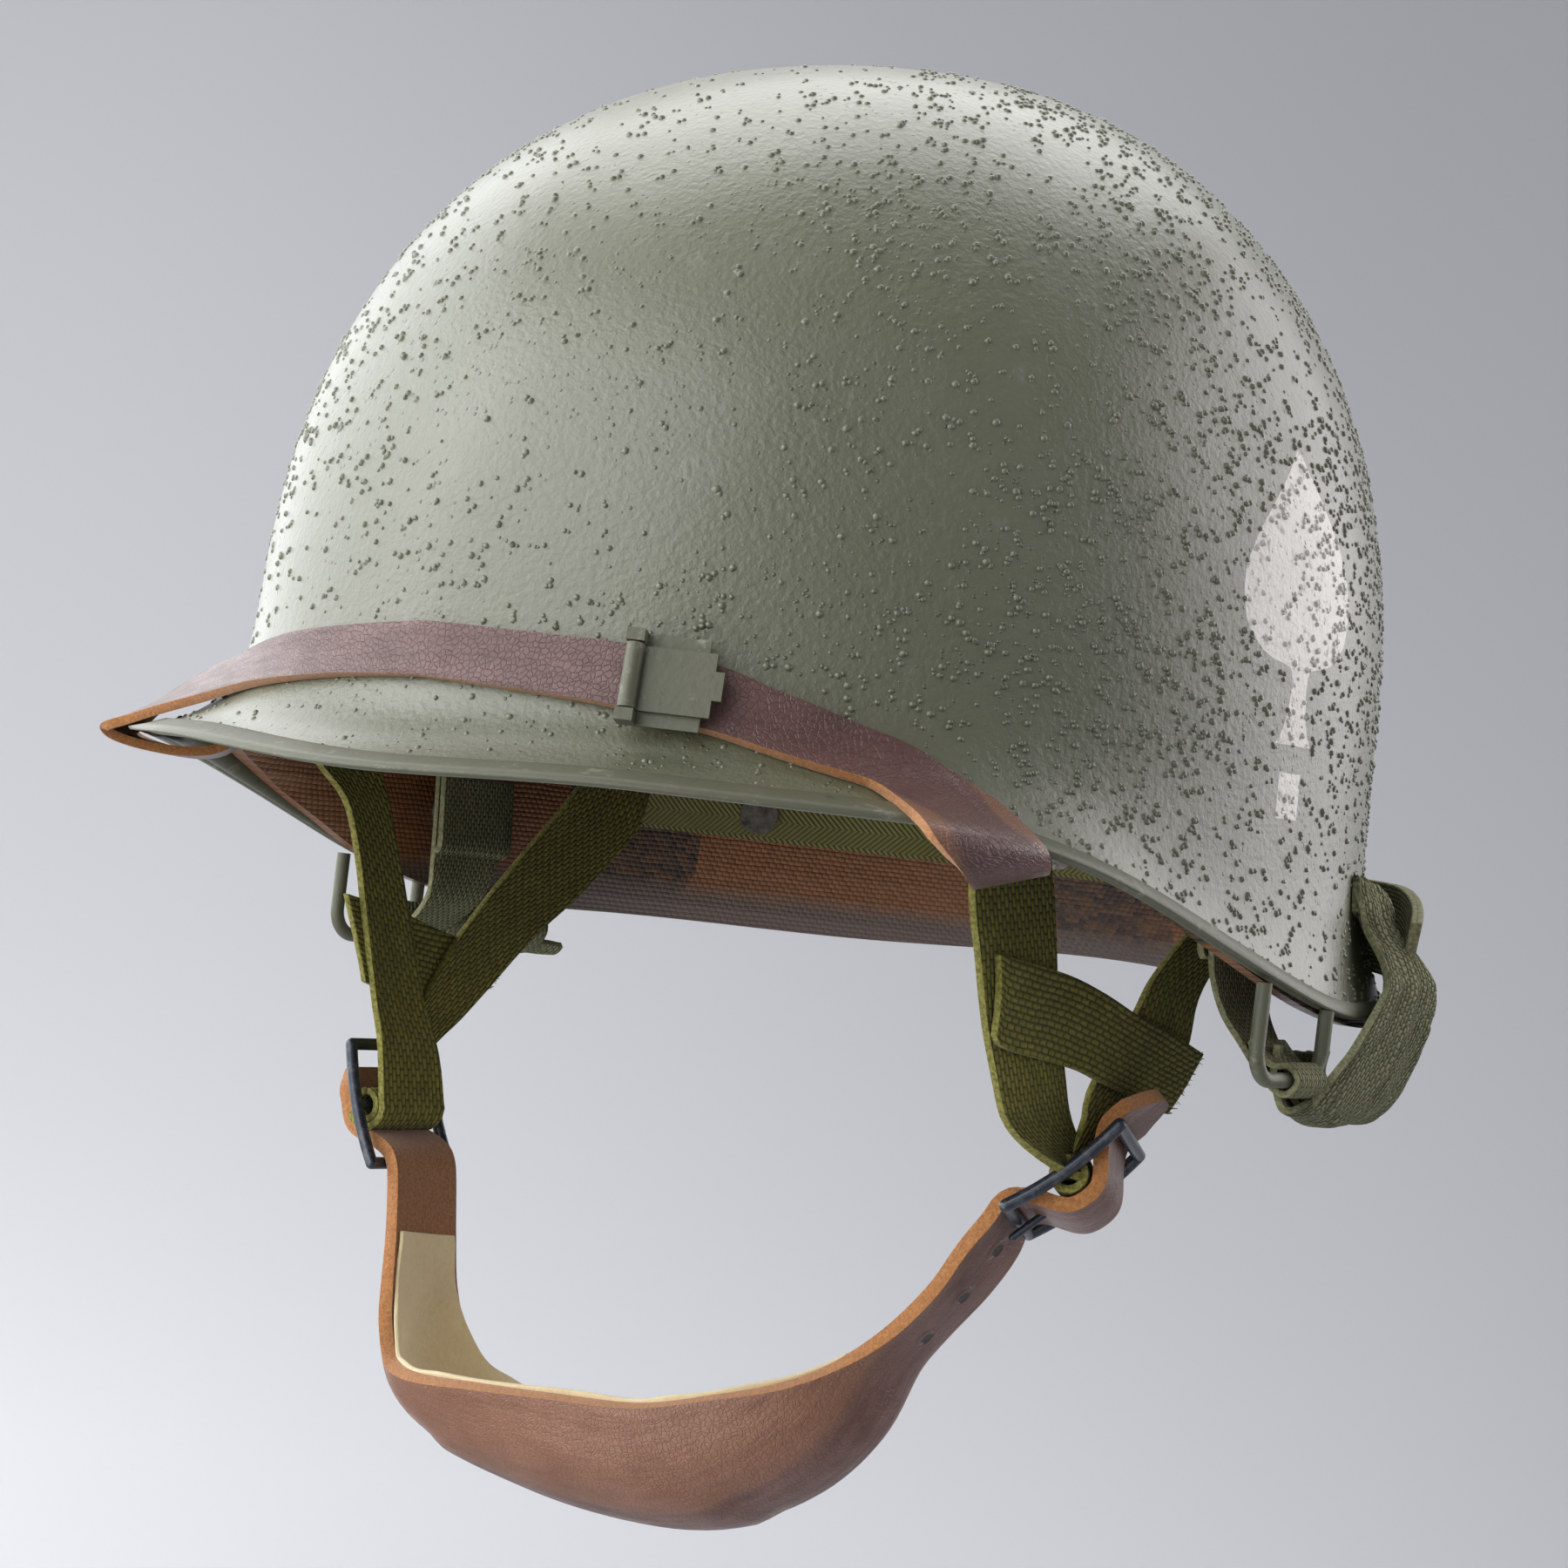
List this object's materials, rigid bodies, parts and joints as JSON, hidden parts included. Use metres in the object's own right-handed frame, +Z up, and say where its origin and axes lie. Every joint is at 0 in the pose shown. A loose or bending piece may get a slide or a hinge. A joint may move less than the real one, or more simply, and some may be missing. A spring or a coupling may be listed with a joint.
{
  "type": "steel pot helmet",
  "caption": "Steel pot helmet with cork-textured olive paint, fibre liner, webbing chin harness on wire buckles and a leather chin cup lined with chamois.",
  "frame": {"origin": "middle of the helmet in plan, level with the lowest part of the steel rim, where the wearer's head enters", "axes": "-Y to the helmet's front, +X to the wearer's left, +Z up through the crown"},
  "size_m": [0.251, 0.2823, 0.2976],
  "materials": {
    "olive_paint": "semi-matte olive drab over cork grit",
    "edging_paint": "semi-matte olive drab",
    "liner_fibre": "matte resin fibre",
    "hbt_webbing": "coarse herringbone webbing",
    "headband_leather": "smooth sweatband leather",
    "plated_steel": "dull plated",
    "strap_leather": "waxed grain with raw edges",
    "buckle_paint": "semi-matte olive drab",
    "shell_webbing": "fine olive-grey cotton webbing",
    "blackened_wire": "blue-black japanned",
    "yoke_webbing": "coarse yellow-olive cotton webbing",
    "chin_leather": "brown grain with raw orange edges",
    "chamois": "pale napped chamois"
  },
  "bodies": {
    "helmet": {"steel_shell": "olive_paint", "rim_edging": "edging_paint", "liner_shell": "liner_fibre", "suspension_band": "hbt_webbing", "nape_strap": "hbt_webbing", "crown_straps": "hbt_webbing", "headband": "headband_leather", "headband_clips": "plated_steel", "liner_rivets": "plated_steel", "yoke_rings": "plated_steel", "liner_strap_studs": "plated_steel", "strap_snaps": "plated_steel", "liner_strap": "strap_leather", "strap_buckle": "buckle_paint", "strap_buckle_pin": "buckle_paint", "bale_left": "olive_paint", "bale_right": "olive_paint", "shell_strap_left": "shell_webbing", "shell_strap_right": "shell_webbing", "rear_buckle": "blackened_wire", "rear_hook": "blackened_wire"},
    "yoke_left": {"yoke_left": "yoke_webbing"},
    "yoke_right": {"yoke_right": "yoke_webbing"},
    "chin_harness": {"chin_strap": "chin_leather", "chin_cup_lining": "chamois", "chin_buckle_left": "blackened_wire", "chin_buckle_right": "blackened_wire"},
    "tongue_left": {"chin_tongue_left": "blackened_wire"},
    "tongue_right": {"chin_tongue_right": "blackened_wire"},
    "strap_gate": {"strap_buckle_gate": "buckle_paint"}
  },
  "joints": [
    {"name": "yoke_left_swing", "type": "hinge", "parent": "helmet", "child": "yoke_left", "pos_m": [0.086, -0.008, 0.031], "axis": [0, 1, 0], "range_deg": [-6, 6]},
    {"name": "chin_swing", "type": "hinge", "parent": "yoke_left", "child": "chin_harness", "pos_m": [0.086, -0.019, -0.037], "axis": [0, 1, 0], "range_deg": [-6, 6]},
    {"name": "yoke_right_swing", "type": "hinge", "parent": "helmet", "child": "yoke_right", "pos_m": [-0.082, -0.008, 0.031], "axis": [0, 1, 0], "range_deg": [-6, 6]},
    {"name": "tongue_left_lift", "type": "hinge", "parent": "chin_harness", "child": "tongue_left", "pos_m": [0.086, -0.019, -0.037], "axis": [0.3212, -0.9009, 0.2918], "range_deg": [0, 12]},
    {"name": "tongue_right_lift", "type": "hinge", "parent": "chin_harness", "child": "tongue_right", "pos_m": [-0.082, -0.024, -0.046], "axis": [0, 1, 0], "range_deg": [0, 12]},
    {"name": "strap_gate_open", "type": "hinge", "parent": "helmet", "child": "strap_gate", "pos_m": [0.04553, -0.12095, 0.04705], "axis": [0.0942, -0.1838, -0.9784], "range_deg": [0, 90]}
  ],
  "couplings": [
    {"joint": "chin_swing", "follows": "yoke_left_swing", "ratio": -1},
    {"joint": "yoke_right_swing", "follows": "yoke_left_swing", "ratio": 0.883}
  ]
}
